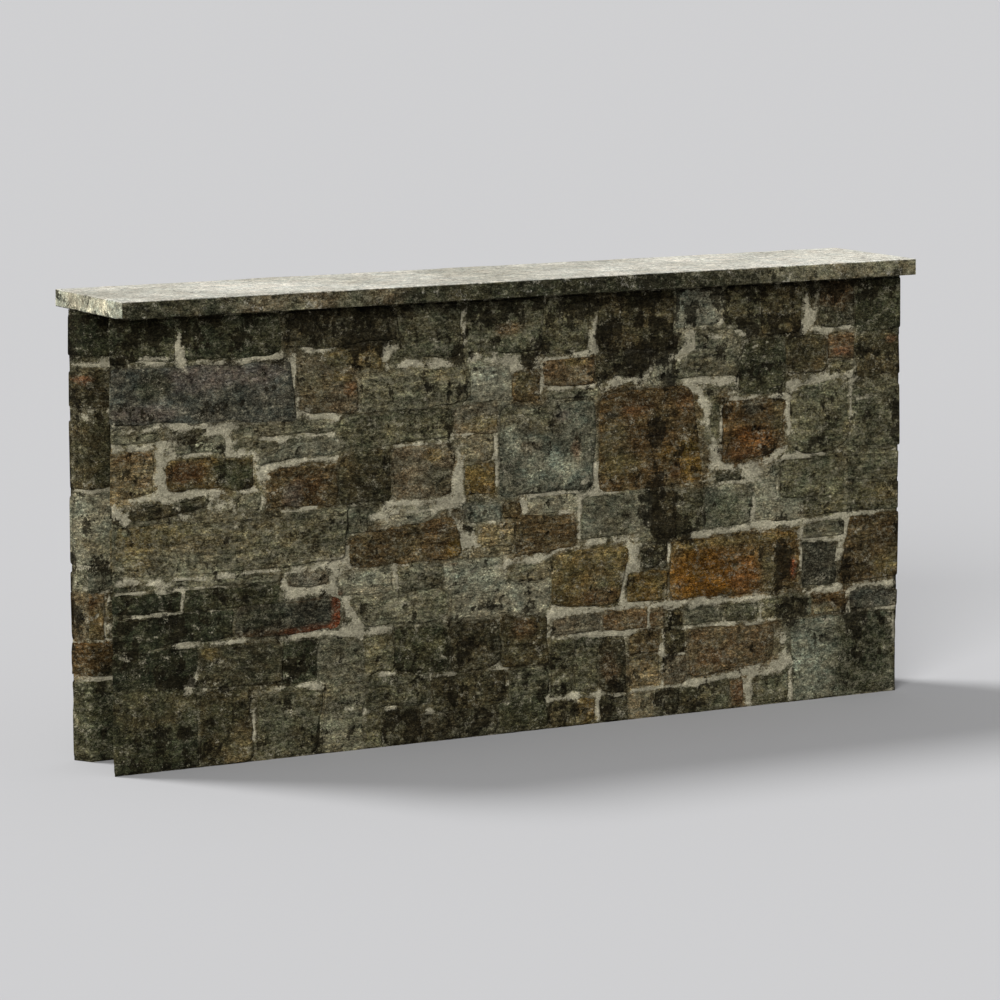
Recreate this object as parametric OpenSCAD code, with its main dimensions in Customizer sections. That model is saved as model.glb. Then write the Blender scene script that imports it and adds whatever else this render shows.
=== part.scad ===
// One straight bay of a rubble stone wall under a flat coping. Two leaves of stone are
// laid in courses, each course topped by a bed of lime mortar that is raked back from
// the stones. A rubble core fills the space between the leaves and stops short of both
// open ends, where the next bay keys in. One slab caps the wall and throws the rain
// clear of both faces.
// The bay stands on z = 0, centred on x and y, with its front face towards -y.

/* [Bay] */
// Length of the bay, the same for the leaves and the coping
bay_length = 3000; // [1800:10:4200]
// Height of the masonry, from the ground to the underside of the coping
masonry_height = 1460; // [1000:1:2000]
// Thickness of the wall, from its front face to its back face
wall_thickness = 311; // [260:1:480]

/* [Leaves] */
// Thickness of each leaf of stones
leaf_thickness = 65; // [50:1:100]
// Height of the mortar bed on top of each course
bed_joint = 12; // [6:1:20]
// Depth to which the mortar is raked back from the faces of the stones
joint_rake = 8; // [2:1:20]

/* [Core] */
// Distance from each open end of the bay to the rubble core
core_setback = 250; // [120:5:400]

/* [Coping] */
// Thickness of the coping slab
coping_thickness = 57; // [40:1:90]
// Overhang of the slab past each face of the wall
coping_overhang = 92; // [60:1:140]
// Width of the slab's eased arrises
arris = 4; // [1:0.5:10]
// Radius of the drip throat under each overhang
throat_radius = 7; // [4:0.5:12]
// Distance from the slab's long edge to the centre of the throat
throat_setback = 30; // [20:1:45]
// Distance from the slab's end to the stop of the throat
throat_stop = 60; // [30:5:150]

/* [Hidden] */
$fn = 48;

// Top of each course with its bed, as a share of the masonry's height, from the ground up
course_top_shares = [0.17, 0.27, 0.42, 0.545, 0.765, 0.89, 1];
course_count = len(course_top_shares);

// Side of the wall that a leaf is on, along y
front = -1;
back = 1;

cavity = wall_thickness - 2 * leaf_thickness;
leaf_centre = (cavity + leaf_thickness) / 2;
coping_depth = wall_thickness + 2 * coping_overhang;
throat_centre = coping_depth / 2 - throat_setback;

// Height of the foot of a course above the ground
function course_foot(i) = i == 0 ? 0 : masonry_height * course_top_shares[i - 1];

// Height of the underside of the mortar bed that tops a course
function bed_foot(i) = masonry_height * course_top_shares[i] - bed_joint;

// Stones of one course of a leaf, as one block between its mortar beds
module course(i, side) {
    height = bed_foot(i) - course_foot(i);
    translate([0, side * leaf_centre, course_foot(i) + height / 2])
        cube([bay_length, leaf_thickness, height], center = true);
}

// Mortar bed on top of a course, raked back from the face and from both ends
module bed(i, side) {
    translate([0, side * (leaf_centre - joint_rake / 2), bed_foot(i) + bed_joint / 2])
        cube([bay_length - 2 * joint_rake, leaf_thickness - joint_rake, bed_joint], center = true);
}

module front_course(i) {
    color("#6f6654") course(i, front);
}

module front_bed(i) {
    color("#b9b09a") bed(i, front);
}

module back_course(i) {
    color("#6f6654") course(i, back);
}

module back_bed(i) {
    color("#b9b09a") bed(i, back);
}

// Rubble fill between the leaves, from the ground up to the coping
module rubble_core() {
    color("#77705f")
        translate([0, 0, masonry_height / 2])
            cube([bay_length - 2 * core_setback, cavity, masonry_height], center = true);
}

// Rectangle with its four corners cut off at 45 degrees
module eased_rectangle(width, height, ease) {
    x = width / 2;
    y = height / 2;
    polygon([
        [-x + ease, -y], [x - ease, -y], [x, -y + ease], [x, y - ease],
        [x - ease, y], [-x + ease, y], [-x, y - ease], [-x, -y + ease]
    ]);
}

// Slab with every arris of its faces eased, and no throats yet
module slab_blank() {
    intersection() {
        rotate([90, 0, 90])
            linear_extrude(bay_length, center = true)
                eased_rectangle(coping_depth, coping_thickness, arris);
        rotate([90, 0, 0])
            linear_extrude(coping_depth, center = true)
                eased_rectangle(bay_length, coping_thickness, arris);
    }
}

// Half-round groove along under an overhang, stopped short of both ends
module drip_throat(side) {
    translate([0, side * throat_centre, masonry_height])
        rotate([0, 90, 0])
            cylinder(h = bay_length - 2 * throat_stop, r = throat_radius, center = true);
}

module coping_slab() {
    color("#aaa89c")
        difference() {
            translate([0, 0, masonry_height + coping_thickness / 2]) slab_blank();
            for (side = [front, back]) drip_throat(side);
        }
}

for (i = [0:course_count - 1]) {
    front_course(i);
    front_bed(i);
    back_course(i);
    back_bed(i);
}
rubble_core();
coping_slab();
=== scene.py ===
# %% [markdown]
# # One bay of a rubble stone wall
# The wall is two leaves of rough stones in lime mortar, with a rubble core between them and one slab of
# coping on top. The packed model gives the sizes and stays underneath as the frame. This script dresses
# it: each stone is a closed block of its own, and a body of mortar fills the joints behind their faces.

# %% Load the packed model and read its sizes
import math

import bpy
import numpy as np
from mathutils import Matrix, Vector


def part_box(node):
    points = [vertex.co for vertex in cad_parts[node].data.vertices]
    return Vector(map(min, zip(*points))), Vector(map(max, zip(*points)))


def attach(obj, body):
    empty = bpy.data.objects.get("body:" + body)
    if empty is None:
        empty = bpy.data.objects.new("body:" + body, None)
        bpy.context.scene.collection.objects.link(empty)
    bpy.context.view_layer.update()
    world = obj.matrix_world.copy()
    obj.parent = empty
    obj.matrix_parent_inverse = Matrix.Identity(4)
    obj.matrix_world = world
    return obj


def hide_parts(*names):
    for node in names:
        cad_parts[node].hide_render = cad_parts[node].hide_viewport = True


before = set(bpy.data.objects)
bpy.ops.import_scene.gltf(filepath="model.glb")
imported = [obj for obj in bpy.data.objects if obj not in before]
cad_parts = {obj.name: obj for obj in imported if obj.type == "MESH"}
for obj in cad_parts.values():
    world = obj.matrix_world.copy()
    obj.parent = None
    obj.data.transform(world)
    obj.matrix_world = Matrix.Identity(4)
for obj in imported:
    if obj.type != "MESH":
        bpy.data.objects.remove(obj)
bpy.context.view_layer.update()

MM = 0.001
front_low, front_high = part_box("front_course_1")
back_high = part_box("back_course_1")[1]
core_low, core_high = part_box("rubble_core")
slab_low, slab_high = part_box("coping_slab")
LENGTH = (front_high.x - front_low.x) / MM
LEAF = (front_high.y - front_low.y) / MM
MASONRY = slab_low.z / MM
COURSES = 7
course_tops = np.array([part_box(f"front_course_{i + 1}")[1].z / MM for i in range(COURSES)])
print(f"bay {LENGTH:.0f} mm long, masonry {MASONRY:.0f} mm high, leaves {LEAF:.0f} mm thick")

# %% [markdown]
# ## The camera
# The viewpoint was fitted to the edges of the coping and the wall in the photograph: a long lens, from the
# front left and a little above the coping, so that the open left end just shows.

# %% Camera
camera_data = bpy.data.cameras.new("view")
camera_data.lens = 165.0
camera_data.sensor_width = 36.0
camera_data.clip_end = 1000.0
camera = bpy.data.objects.new("view", camera_data)
camera.location = (-7.534, -13.0995, 2.9397)
camera.rotation_euler = (math.radians(81.787), 0.0, math.radians(-29.895))
bpy.context.scene.collection.objects.link(camera)
bpy.context.scene.camera = camera
bpy.context.scene.view_settings.view_transform = "Standard"

# %% [markdown]
# ## Noise
# A split stone is rough at every size, from the swell of its whole face to single grains. Smooth noise
# gives such a surface: random numbers stand on a lattice and are blended between its points. Layers with
# half the wavelength and half the height add the finer roughness. Every seed is fixed, so each run of the
# script lays the same wall.

# %% Smooth noise on whole arrays of points
OCTAVE_SHIFT = 13.7


def lattice(cell, seed):
    """A number from 0 to 1 for each whole-number cell, scrambled from its three counts and the seed."""
    c = cell.astype(np.int64).astype(np.uint32)
    h = c[:, 0] * np.uint32(0x8DA6B343) ^ c[:, 1] * np.uint32(0xD8163841) ^ c[:, 2] * np.uint32(0xCB1AB31F)
    h = h ^ np.uint32((seed * 2654435761) % 2**32)
    h = (h ^ (h >> np.uint32(15))) * np.uint32(0x2C1B3C6D)
    h = (h ^ (h >> np.uint32(12))) * np.uint32(0x297A2D39)
    return ((h ^ (h >> np.uint32(15))) & np.uint32(0xFFFFFF)) / 2.0**24


def noise(points, wavelength, seed, octaves=3):
    """Noise from about -1 to 1 at points in millimetres: the eight lattice numbers round each point,
    blended by a smooth step, plus octaves of half the wavelength and half the height."""
    total = np.zeros(len(points))
    height = 1.0
    for octave in range(octaves):
        p = points / wavelength * 2**octave + OCTAVE_SHIFT * octave
        cell = np.floor(p)
        f = p - cell
        f = f * f * (3 - 2 * f)
        for corner in np.ndindex(2, 2, 2):
            side = np.array(corner)
            weight = np.prod(np.where(side, f, 1 - f), axis=1)
            total += height * weight * (2 * lattice(cell + side, seed + octave) - 1)
        height *= 0.5
    return total / (2 - 2 * height)


def smooth(value, low, high):
    """A soft switch from 0 at low to 1 at high, level at both ends."""
    x = np.clip((value - low) / (high - low), 0, 1)
    return x * x * (3 - 2 * x)


trial = noise(np.random.default_rng(1).uniform(0, 900, (4000, 3)), 60, 1)
print(f"noise runs from {trial.min():.2f} to {trial.max():.2f}")

# %% [markdown]
# ## Closed blocks
# Stones, mortar and coping all have the same build: a front face that is a grid, rings that carry its rim
# back, and either a second grid or a single point that closes the far side. One function numbers the
# faces of such a block. Points are worked out across the face, up it and out of it, in millimetres, so
# the same stone can be set in the front leaf, the back leaf or the end of the core.

# %% Faces of a closed block, and the planes that blocks are set on
def rim_of(rows, cols):
    """Vertex numbers once round a grid, from its lower left corner, anticlockwise from outside."""
    grid = np.arange(rows * cols).reshape(rows, cols)
    return np.concatenate([grid[0, :-1], grid[:-1, -1], grid[-1, :0:-1], grid[:0:-1, 0]])


def block_faces(rows, cols, rings, far_grid):
    """Quads and triangles of a block: its front grid, bands between the rings behind it, and a far side
    that is a second grid, or triangles to one last vertex."""
    grid = np.arange(rows * cols).reshape(rows, cols)
    rim = rim_of(rows, cols)
    front = np.stack([grid[:-1, :-1], grid[:-1, 1:], grid[1:, 1:], grid[1:, :-1]], -1).reshape(-1, 4)
    end = rows * cols + rings * len(rim)
    loops = [rim] + [rows * cols + k * len(rim) + np.arange(len(rim)) for k in range(rings)]
    if far_grid:
        loops.append(end + rim)
    quads = [front]
    for near, far in zip(loops, loops[1:]):
        quads.append(np.stack([np.roll(near, -1), near, far, np.roll(far, -1)], -1))
    if far_grid:
        quads.append(front[:, ::-1] + end)
        return np.concatenate(quads), np.zeros((0, 3), int)
    last = loops[-1]
    return np.concatenate(quads), np.stack([np.roll(last, -1), last, np.full(len(last), end)], -1)


UP = np.array([0.0, 0.0, 1.0])
FRONT = (np.array([front_low.x, front_low.y, 0.0]), np.array([1.0, 0, 0]), np.array([0, -1.0, 0]))
BACK = (np.array([back_high.x, back_high.y, 0.0]), np.array([-1.0, 0, 0]), np.array([0, 1.0, 0]))
CORE_LEFT = (np.array([core_low.x, core_high.y, 0.0]), np.array([0, -1.0, 0]), np.array([-1.0, 0, 0]))
CORE_RIGHT = (np.array([core_high.x, core_low.y, 0.0]), np.array([0, 1.0, 0]), np.array([1.0, 0, 0]))


def set_on(plane, uvw):
    """Points across, up and out of a plane, in millimetres, as points of the frame in metres."""
    origin, across, out = plane
    return origin + MM * (uvw[:, 0:1] * across + uvw[:, 1:2] * UP + uvw[:, 2:3] * out)


# %% [markdown]
# ## Kinds of stone
# The wall mixes field stones of many colours under one coat of grime. Each kind has a main colour, a
# second colour that comes through in patches, the strength of its bedding lines, the roughness of its
# split face and how thickly pale lichen flecks it.

# %% Palette of the stones
KINDS = {
    "moss": ((54, 54, 40), (68, 67, 50), 0.35, 0.9, 0.35),
    "pine": ((46, 47, 35), (58, 59, 44), 0.3, 0.8, 0.2),
    "umber": ((64, 59, 43), (78, 69, 49), 0.5, 1.0, 0.35),
    "brown": ((76, 63, 43), (90, 74, 50), 0.7, 1.0, 0.4),
    "pale": ((93, 89, 72), (113, 108, 89), 0.8, 1.1, 0.7),
    "bone": ((124, 120, 104), (142, 139, 122), 0.6, 1.1, 0.8),
    "chalk": ((143, 138, 120), (164, 160, 141), 0.6, 1.1, 0.8),
    "tan": ((113, 102, 80), (126, 115, 91), 0.6, 1.0, 0.65),
    "olive": ((76, 73, 56), (94, 90, 70), 0.6, 1.1, 0.55),
    "pink": ((91, 80, 63), (105, 95, 78), 0.4, 0.9, 0.55),
    "ochre": ((92, 77, 48), (94, 86, 63), 0.5, 0.9, 0.4),
    "amber": ((114, 100, 74), (124, 106, 76), 0.9, 0.9, 0.55),
    "purple": ((100, 93, 79), (114, 107, 93), 0.5, 0.8, 0.5),
    "slate": ((53, 51, 43), (68, 65, 55), 0.4, 0.7, 0.4),
    "lilac": ((70, 68, 60), (93, 89, 80), 0.4, 0.7, 0.4),
    "dark": ((56, 52, 39), (68, 63, 48), 0.3, 1.0, 0.4),
    "red": ((96, 79, 57), (104, 91, 69), 0.4, 0.9, 0.45),
    "grey": ((83, 81, 67), (103, 100, 85), 0.5, 1.0, 0.6),
    "rust": ((74, 59, 38), (90, 66, 38), 0.6, 1.0, 0.35),
    "blue": ((82, 81, 69), (110, 108, 94), 0.3, 0.9, 0.6),
    "orange": ((87, 70, 44), (107, 81, 44), 0.5, 0.9, 0.4),
}
KIND_NAMES = list(KINDS)


def linear(colour):
    """Screen colours from 0 to 255 as linear light."""
    c = np.asarray(colour, float) / 255
    return np.where(c <= 0.04045, c / 12.92, ((c + 0.055) / 1.055) ** 2.4)


kind_main = linear([KINDS[k][0] for k in KIND_NAMES])
kind_patch = linear([KINDS[k][1] for k in KIND_NAMES])
kind_bedding = np.array([KINDS[k][2] for k in KIND_NAMES])
kind_rough = np.array([KINDS[k][3] for k in KIND_NAMES])
kind_fleck = np.array([KINDS[k][4] for k in KIND_NAMES])
print(len(KINDS), "kinds of stone")

# %% [markdown]
# ## How the stones lie
# The bond is the mason's: big blocks are placed first, thin flats level up under the next block, and the
# rough courses meet at long beds near the CAD courses. Each entry gives a stone's left, right, foot, head
# and kind, in millimetres from the left end and the ground. A pair is a side that slopes: a foot or head
# from left to right, a left or right from the foot up. A last number below 10 rounds the stone's corners,
# down to a lens at 2.

# %% Layout of one face
STONES = [
    # From the ground to the first bed
    (0, 300, 4, 262, "moss"), (312, 486, 4, 240, "umber"), (512, 738, 4, (210, 216), "olive"),
    (752, 900, 4, 220, "pale"), (912, 964, 4, 116, "olive"), (974, 1104, 4, 112, "dark"),
    (914, 1138, 128, 228, "olive"), (1112, 1394, 4, 94, "dark"), (1150, 1432, 104, 212, "umber"),
    (1404, 1588, 12, 106, "moss"), (1446, 1592, 118, 206, "olive"), (1602, 1700, 4, 88, "umber"),
    (1710, 1774, 4, 84, "ochre"), (1798, 1908, 4, 88, "dark"), (1918, 2002, 4, 88, "tan"),
    (2012, 2106, 4, 86, "dark"), (2116, 2178, 4, 86, "umber"), (2188, 2308, 4, 98, "olive"),
    (2318, 2370, 4, 94, "red"), (2412, 2546, 6, (74, 118), "olive"),
    ((2566, 2562), 3000, 4, 290, "grey"), (1604, 1694, 108, 296, "olive"),
    (1704, 1790, 108, 296, "olive"), (1798, 1902, 108, 296, "dark"), (1912, 2030, 108, 212, "amber"),
    (1912, 2028, 222, 296, "brown"), (2050, 2134, 108, 200, "pink"), (2052, 2128, 210, 292, "umber"),
    (2146, (2478, 2496), (118, 150), 286, "red"),
    # Up to the bed at 390
    (0, 298, 274, 390, "pine"), (306, 600, 252, 384, "umber"), (608, 726, 242, 380, "moss"),
    (734, 894, 234, 376, "grey"), (904, 1008, 244, 370, "olive"), (1016, 1216, 236, 386, "moss"),
    (1224, 1404, 222, 386, "dark"), (1412, 1594, 216, 390, "umber"), (1612, 1796, 310, 366, "purple"),
    (1806, 1982, 306, 376, "red"), (1994, 2048, 308, 360, "red"), (2058, 2120, 302, 358, "umber"),
    (2130, 2286, 304, 356, "grey"), (2296, 2428, 304, 362, "olive"), (2440, 2602, 306, 362, "olive"),
    (2612, 2646, 304, 360, "umber"), (2656, 2790, 302, 368, "rust"), (2806, 3000, 302, 362, "lilac"),
    # Up to the bed at 610
    (0, 426, 404, 498, "pine"), (434, 822, 402, (506, 518), "slate", 9), (0, 246, 512, 572, "pine"),
    (258, 602, 508, 576, "moss"), (4, 150, 586, 606, "olive", 4),
    (204, 598, (582, 586), 606, "pale", 6), (628, 776, 552, 596, "purple", 2.6),
    ((905, 838), 1216, 404, 506, "pale"), (814, 1008, 514, 586, "bone"), (1030, 1192, 510, 592, "pale"),
    (1202, 1426, 514, 590, "bone"), (1222, 1598, 402, 506, "bone"),
    (1434, 1600, 512, (556, 566), "pale"), (1606, (1872, 1920), 402, (580, 604), "ochre"),
    ((1906, 1912), 2060, 402, 506, "ochre"), ((1966, 1986), 2062, 514, 602, "dark"),
    (2072, 2596, 394, 598, "orange"), (2606, 2750, 402, 554, "slate"), (2608, 2774, 566, 616, "pale"),
    ((2764, 2800), 3000, 402, 632, "brown"),
    # Up to the bed at 790
    (0, 832, (630, 622), 800, "pale"), (850, (1268, 1244), 604, (704, 750), "brown", 7),
    (842, 914, 712, 792, "grey"), (992, 1150, (732, 746), 772, "chalk", 6),
    (1276, 1412, 716, 772, "blue"), (1422, 1490, 722, 774, "brown"), (1342, 1458, 632, 700, "amber"),
    (1300, 1456, 598, 624, "tan", 4), (1468, 1704, (588, 612), 720, "brown"),
    (1516, 1702, 730, 782, "bone"), (1724, 1986, 624, 774, "grey"), (1996, 2096, 616, 766, "dark"),
    (2106, 2198, 622, 758, "olive"), (2208, 2398, 624, 770, "blue"), (2414, 2600, 634, 704, "bone"),
    (2414, 2504, 714, 798, "chalk"), (2512, 2776, 712, 850, "olive"), (2610, 2790, 640, 704, "olive"),
    (2800, 3000, 648, 742, "olive"), (2786, 3000, 752, 854, "olive"), (2250, 2352, 788, 808, "dark", 5),
    # Up to the bed at 1110
    (0, 148, (866, 890), 1034, "amber"), (198, 504, (898, 888), 992, "ochre"),
    (60, 346, (806, 832), (848, 870), "dark", 2.6), (440, 530, 812, 874, "pale", 4),
    (514, 812, (960, 982), (988, 1040), "blue", 5), (546, 802, 816, (934, 958), "brown"),
    (8, 188, 1060, 1092, "pale", 3.5), (206, 338, (1058, 1074), (1068, 1096), "dark", 3),
    (222, 404, 1008, (1036, 1066), "pale", 5), (424, 588, (1026, 1022), (1036, 1048), "pale", 3),
    (466, 800, (1054, 1050), (1086, 1096), "pale", 6), (812, 1000, 814, (968, 984), "umber"),
    (1010, 1236, 814, 984, "pink"), (814, 1228, 996, 1100, "olive"), (1238, 1398, 1010, 1100, "pink"),
    (1278, 1388, 920, 1000, "tan"), (1284, 1392, 812, 910, "ochre"), (1412, 1774, 798, 1092, "blue"),
    (1792, (2216, 2150), 780, 1116, "brown", 9), (2232, 2262, 930, 1044, "olive", 4),
    (2276, (2500, 2534), (852, 872), 1060, "rust"), (2552, 2790, 866, 1104, "olive", 5),
    (2806, 3000, 866, 1076, "olive"),
    # Up to the bed at 1290
    (0, (656, 638), (1116, 1102), 1290, "lilac"), (668, 874, 1112, (1284, 1238), "pink", 6),
    (896, 1292, 1110, 1236, "pale"), (1302, 1456, 1110, 1226, "bone"),
    (1464, 1570, 1108, 1202, "brown"), (1578, 1770, 1148, 1236, "red"),
    (1614, 1786, 1106, 1132, "pale", 4), (1780, 1990, 1166, 1244, "dark"),
    (2000, 2078, 1122, 1206, "bone"), (2088, 2332, 1142, 1228, "pale"),
    (2342, 2526, 1080, 1264, "moss", 4), (2536, 2692, 1140, 1266, "umber"),
    (2702, 2810, 1178, 1268, "red"), (2820, 3000, 1116, 1258, "umber"),
    (2704, 2808, 1134, 1168, "olive", 5),
    # Up to the coping
    (0, 232, 1310, 1446, "moss"), (266, 604, (1302, 1318), 1446, "moss"),
    (612, 1018, (1332, 1326), 1446, "dark"), (770, 962, (1272, 1244), 1316, "ochre", 6),
    (1028, 1258, 1272, 1446, "olive"), (1284, 1572, 1270, 1446, "olive"),
    (1582, 1754, 1256, 1446, "olive"), (1788, 2078, 1254, 1446, "umber"),
    (2088, 2282, 1318, 1446, "bone"), (2168, 2332, 1240, 1306, "grey", 5),
    (2292, 2422, 1316, 1446, "olive"), (2432, 2592, 1278, 1446, "umber"),
    (2668, 2806, 1292, 1446, "dark"), (2816, 3000, 1270, 1446, "moss"),
]

# Stones at the far end of the back leaf, whose inner faces show through the open left end. The tan and bone
# kinds among them are painted light: paler, to make up for the shade deep in the open end.
QUOINS = [
    (2690, 3000, 4, 262, "olive"), (2700, 3000, 276, 384, "rust"), (2936, 3000, 396, 552, "red"),
    (2700, 2920, 396, 446, "umber"), (2706, 2918, 458, 552, "dark"), (2700, 3000, 564, 622, "grey"),
    (2690, 3000, 646, 876, "bone"), (2900, 3000, 890, 1104, "umber"), (2690, 2888, 890, 1104, "tan"),
    (2690, 3000, 1146, 1262, "dark"), (2690, 3000, 1312, 1446, "pine"),
]


def pair(value):
    """A side of a stone as its places at both ends."""
    return value if isinstance(value, tuple) else (value, value)


def cut_at(stone, end):
    """The stone, shortened where it passes the end of the repeat."""
    left, right, *rest = stone
    return (left, tuple(min(x, end) for x in pair(right)), *rest)


END_OF_REPEAT = 2678
back_stones = [cut_at(s, END_OF_REPEAT) for s in STONES if max(pair(s[0])) < END_OF_REPEAT - 40]
back_stones += QUOINS
print(len(STONES), "stones in the front leaf,", len(back_stones), "in the back leaf")

# %% [markdown]
# ## Weather
# Two things mark the face more than the stone itself. Fresh lime shows white where joints were pointed
# and smeared over the edges of the stones. Black algae follows the water: runs below the coping and damp
# patches lower down. The dark band under the coping is algae with painted shade from the coping. Both
# are fields over the face, drawn as strokes and blots, which stones and mortar read at their own
# vertices. The material frays their edges.

# %% Fields of lime, and of grime and painted shade
# Strokes of lime: from a point, to a point and the half width
LIME = [
    # Under the coping
    (110, 1316, 215, 1318, 11), (247, 1395, 243, 1345, 7), (243, 1330, 262, 1300, 17),
    (262, 1298, 400, 1299, 5), (480, 1300, 580, 1310, 7), (560, 1312, 600, 1312, 8),
    (690, 1322, 800, 1330, 7), (985, 1250, 985, 1300, 16), (1000, 1300, 1015, 1310, 9),
    (1036, 1252, 1126, 1254, 10), (1150, 1250, 1230, 1250, 10), (1290, 1430, 1262, 1402, 4),
    (1262, 1402, 1274, 1312, 5), (1300, 1248, 1392, 1250, 12), (1405, 1246, 1500, 1220, 18),
    (1420, 1220, 1510, 1212, 10), (1590, 1242, 1690, 1240, 6), (1700, 1244, 1775, 1252, 8),
    (1768, 1260, 1776, 1370, 8), (2200, 1322, 2280, 1330, 7), (2614, 1400, 2624, 1330, 10),
    (2610, 1300, 2645, 1330, 22), (2640, 1282, 2790, 1278, 8),
    # Round the upper blocks
    (650, 1290, 652, 1190, 7), (656, 1170, 660, 1120, 9), (670, 1130, 700, 1130, 16),
    (700, 1104, 790, 1100, 6), (1600, 1138, 1770, 1141, 6), (1574, 1190, 1576, 1150, 6),
    (1852, 1142, 1960, 1150, 11), (1960, 1160, 1990, 1190, 9), (2085, 1225, 2140, 1240, 16),
    (2110, 1245, 2160, 1296, 10), (2150, 1240, 2170, 1300, 6), (2225, 1282, 2262, 1280, 13),
    (2310, 1292, 2350, 1290, 8), (2350, 1200, 2390, 1240, 6), (2390, 1240, 2450, 1256, 6),
    (2545, 1106, 2660, 1108, 13), (2680, 1120, 2800, 1125, 7), (2130, 1130, 2330, 1128, 11),
    (2136, 1122, 2188, 1090, 13), (2190, 1080, 2226, 1010, 11), (2214, 1030, 2230, 930, 9),
    (2240, 940, 2258, 840, 15), (2266, 1050, 2270, 940, 5), (2262, 838, 2420, 832, 12),
    (2370, 812, 2440, 808, 12), (2260, 778, 2400, 780, 7), (2450, 845, 2535, 886, 8),
    (2300, 1066, 2480, 1066, 7), (2490, 1064, 2530, 1064, 9), (2540, 1060, 2546, 930, 6),
    (2560, 862, 2680, 856, 7), (2520, 852, 2570, 860, 9), (2800, 1100, 2800, 1000, 5),
    (2802, 1000, 2822, 915, 5), (2815, 1040, 2905, 1040, 9), (2948, 1000, 2954, 935, 4),
    (2870, 846, 2890, 840, 10), (2975, 846, 2990, 842, 8),
    # Round the flats on the left
    (10, 1048, 150, 1046, 9), (172, 1044, 176, 885, 20), (190, 1050, 215, 1010, 10),
    (215, 1002, 350, 1000, 5), (340, 1084, 430, 1090, 12), (205, 1102, 330, 1100, 7),
    (60, 1104, 200, 1102, 5), (414, 1072, 414, 1012, 13), (430, 1010, 500, 1004, 8),
    (508, 1000, 515, 960, 10), (520, 945, 545, 905, 11), (540, 950, 800, 968, 7),
    (520, 1046, 800, 1044, 5), (590, 1034, 640, 1040, 6), (780, 1080, 800, 1090, 8),
    (70, 876, 180, 880, 12), (180, 882, 360, 880, 10), (350, 880, 500, 888, 7), (10, 836, 50, 824, 22),
    (350, 832, 428, 846, 15), (525, 826, 530, 856, 9), (610, 808, 720, 810, 8),
    # Lower left
    (20, 622, 70, 616, 9), (80, 612, 180, 608, 8), (150, 596, 200, 600, 10), (200, 613, 420, 612, 6),
    (430, 612, 600, 616, 5), (10, 578, 240, 578, 4), (300, 580, 400, 580, 3), (251, 572, 251, 508, 5),
    (40, 505, 240, 504, 2), (610, 600, 612, 552, 10), (620, 540, 800, 538, 13), (612, 606, 760, 608, 9),
    (790, 552, 806, 592, 12), (745, 618, 845, 630, 16), (838, 640, 846, 700, 9),
    (840, 508, 850, 420, 9), (860, 440, 894, 402, 18), (815, 392, 880, 384, 13),
    (890, 386, 1000, 388, 8), (640, 395, 800, 396, 5), (350, 396, 470, 394, 5), (200, 397, 290, 396, 5),
    (280, 296, 268, 252, 18), (300, 248, 320, 250, 6), (497, 160, 497, 75, 9), (560, 224, 600, 226, 7),
    (640, 228, 740, 226, 5), (965, 240, 1010, 240, 8), (820, 140, 900, 132, 5), (890, 120, 920, 122, 7),
    (1140, 222, 1144, 200, 6), (1165, 217, 1235, 217, 6), (1130, 110, 1145, 108, 8),
    (985, 120, 1010, 121, 6), (1440, 162, 1466, 162, 7), (1597, 112, 1595, 90, 7),
    (1400, 214, 1440, 210, 5),
    # Middle of the bay
    (1256, 990, 1256, 800, 17), (1010, 990, 1225, 990, 6), (1225, 994, 1250, 1004, 13),
    (1010, 806, 1240, 803, 5), (1396, 1000, 1398, 830, 6), (1384, 930, 1394, 918, 8),
    (1170, 780, 1250, 790, 8), (1240, 1004, 1300, 1005, 5), (935, 765, 975, 776, 20),
    (1000, 778, 1160, 774, 6), (1215, 758, 1262, 700, 11), (1282, 690, 1284, 650, 16),
    (1305, 690, 1325, 640, 9), (1330, 708, 1410, 709, 6), (1496, 780, 1504, 735, 6),
    (1520, 790, 1700, 789, 4), (1640, 725, 1700, 726, 4), (1713, 770, 1714, 640, 8),
    (1712, 640, 1716, 610, 6), (1725, 822, 1748, 826, 13), (1720, 788, 1800, 782, 7),
    (1784, 880, 1783, 800, 7), (1800, 777, 1860, 778, 6), (1440, 572, 1600, 588, 6),
    (1600, 594, 1700, 608, 7), (1700, 613, 1950, 614, 8), (1290, 552, 1420, 560, 5),
    (1018, 590, 1020, 520, 9), (1040, 597, 1060, 594, 6), (1945, 590, 1926, 522, 23),
    (1888, 496, 1888, 410, 17), (1900, 392, 2000, 390, 8), (1610, 388, 1880, 386, 10),
    (1620, 304, 1700, 302, 6), (1700, 301, 1960, 301, 6), (1602, 396, 1603, 300, 6),
    (1988, 372, 1988, 310, 5),
    # Lower right
    (2005, 382, 2130, 384, 9), (2165, 376, 2500, 376, 9), (2434, 362, 2434, 308, 4),
    (2125, 296, 2500, 295, 6), (2040, 294, 2040, 210, 6), (2040, 200, 2040, 110, 6),
    (2062, 205, 2130, 205, 4), (1600, 98, 2170, 97, 6), (1786, 88, 1786, 8, 8),
    (2140, 106, 2350, 108, 7), (2392, 118, 2500, 138, 21), (2388, 100, 2392, 10, 13),
    (2530, 232, 2522, 132, 22), (2556, 110, 2555, 8, 6), (2690, 280, 2735, 282, 8),
    (2985, 250, 2995, 180, 8), (2920, 295, 2990, 294, 6), (2620, 384, 2640, 376, 6),
    (2660, 384, 2760, 388, 8), (2800, 378, 2990, 384, 7), (2798, 368, 2798, 300, 4),
    (2160, 612, 2390, 614, 8), (2405, 720, 2402, 645, 8), (2430, 784, 2484, 730, 16),
    (2410, 624, 2590, 626, 9), (2620, 628, 2780, 628, 7), (2784, 620, 2776, 560, 10),
    (2772, 550, 2757, 490, 7), (2612, 560, 2760, 559, 5), (2815, 640, 2930, 640, 5),
    (2066, 600, 2066, 540, 5), (2601, 600, 2601, 420, 4),
]

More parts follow.
